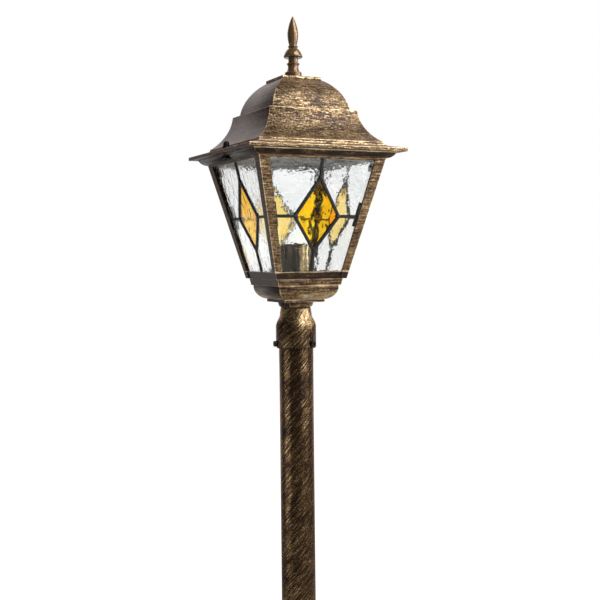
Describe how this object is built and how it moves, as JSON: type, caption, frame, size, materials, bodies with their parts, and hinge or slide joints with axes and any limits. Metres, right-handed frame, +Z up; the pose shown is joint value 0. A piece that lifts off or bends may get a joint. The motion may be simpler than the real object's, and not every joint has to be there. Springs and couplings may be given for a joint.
{
  "type": "garden lamp post",
  "caption": "Garden lamp post: tapered square lantern with an ogee roof, finial, leaded panes with amber diamonds and a lamp holder, clamped on a round post with a flared foot.",
  "frame": {"origin": "centre of the foot's underside, on the ground under the post's axis", "axes": "+Z up along the post; -Y is out of the front pane; +X is to the right seen from the front"},
  "size_m": [0.2, 0.2, 1.0784],
  "materials": {
    "bronze_casting": "satin",
    "bronze_sheet": "satin",
    "black_fastener": "satin",
    "clear_glass": "gloss",
    "amber_glass": "gloss",
    "black_came": "satin",
    "zinc_steel": "satin",
    "porcelain": "gloss",
    "brass": "satin",
    "black_rubber": "matte",
    "brown_wire": "matte",
    "blue_wire": "matte",
    "green_wire": "matte",
    "white_plastic": "matte"
  },
  "bodies": {
    "post": {"foot": "bronze_casting", "foot_screws": "black_fastener", "post_tube": "bronze_sheet"},
    "head": {"lantern_frame": "bronze_casting", "lantern_tray": "bronze_casting", "post_sleeve": "bronze_casting", "holder_cup": "bronze_sheet", "roof_bolts": "black_fastener", "clear_glass_front": "clear_glass", "clear_glass_right": "clear_glass", "clear_glass_back": "clear_glass", "clear_glass_left": "clear_glass", "amber_glass_front": "amber_glass", "amber_glass_right": "amber_glass", "amber_glass_back": "amber_glass", "amber_glass_left": "amber_glass", "came_front": "black_came", "came_right": "black_came", "came_back": "black_came", "came_left": "black_came", "frame_screws": "zinc_steel", "pane_plates": "zinc_steel", "pane_plate_screws": "zinc_steel", "nipple": "zinc_steel", "nipple_washers": "zinc_steel", "nipple_nuts": "zinc_steel", "holder_bracket": "zinc_steel", "holder_screws": "zinc_steel", "earth_tag": "zinc_steel", "socket_body": "porcelain", "thread_shell": "brass", "wire_terminals": "brass", "terminal_screws": "brass", "neck_gasket": "black_rubber", "live_wire": "brown_wire", "neutral_wire": "blue_wire", "earth_wire": "green_wire", "terminal_block": "white_plastic"},
    "roof": {"roof": "bronze_casting", "finial": "bronze_casting", "finial_washer": "zinc_steel", "finial_nut": "zinc_steel"},
    "cap_nut_left": {"cap_nut_left": "black_fastener"},
    "cap_nut_right": {"cap_nut_right": "black_fastener"},
    "sleeve_screw_1": {"sleeve_screw_1": "black_fastener"},
    "sleeve_screw_2": {"sleeve_screw_2": "black_fastener"},
    "sleeve_screw_3": {"sleeve_screw_3": "black_fastener"},
    "centre_contact": {"centre_contact": "brass"}
  },
  "joints": [
    {"name": "head_swivel", "type": "hinge", "parent": "post", "child": "head", "pos_m": [0, 0, 0.707], "axis": [0, 0, 1], "range_deg": [-180, 180]},
    {"name": "roof_lift", "type": "slide", "parent": "head", "child": "roof", "axis": [0, 0, 1], "range_m": [0, 0.2]},
    {"name": "cap_nut_left_turn", "type": "hinge", "parent": "roof", "child": "cap_nut_left", "pos_m": [-0.088, 0, 0.91816], "axis": [0, 0, 1], "continuous": true},
    {"name": "cap_nut_right_turn", "type": "hinge", "parent": "roof", "child": "cap_nut_right", "pos_m": [0.088, 0, 0.91816], "axis": [0, 0, 1], "continuous": true},
    {"name": "sleeve_screw_1_turn", "type": "hinge", "parent": "head", "child": "sleeve_screw_1", "pos_m": [0.01405, 0.02007, 0.6838], "axis": [0.5736, 0.8192, 0], "continuous": true},
    {"name": "sleeve_screw_2_turn", "type": "hinge", "parent": "head", "child": "sleeve_screw_2", "pos_m": [-0.02441, 0.00214, 0.6838], "axis": [-0.9962, 0.0872, 0], "continuous": true},
    {"name": "sleeve_screw_3_turn", "type": "hinge", "parent": "head", "child": "sleeve_screw_3", "pos_m": [0.01035, -0.0222, 0.6838], "axis": [0.4226, -0.9063, 0], "continuous": true},
    {"name": "centre_contact_press", "type": "hinge", "parent": "head", "child": "centre_contact", "pos_m": [0.008, 0, 0.7799], "axis": [0, -1, 0], "range_deg": [0, 8], "stiffness_Nm_per_rad": 0.4}
  ]
}
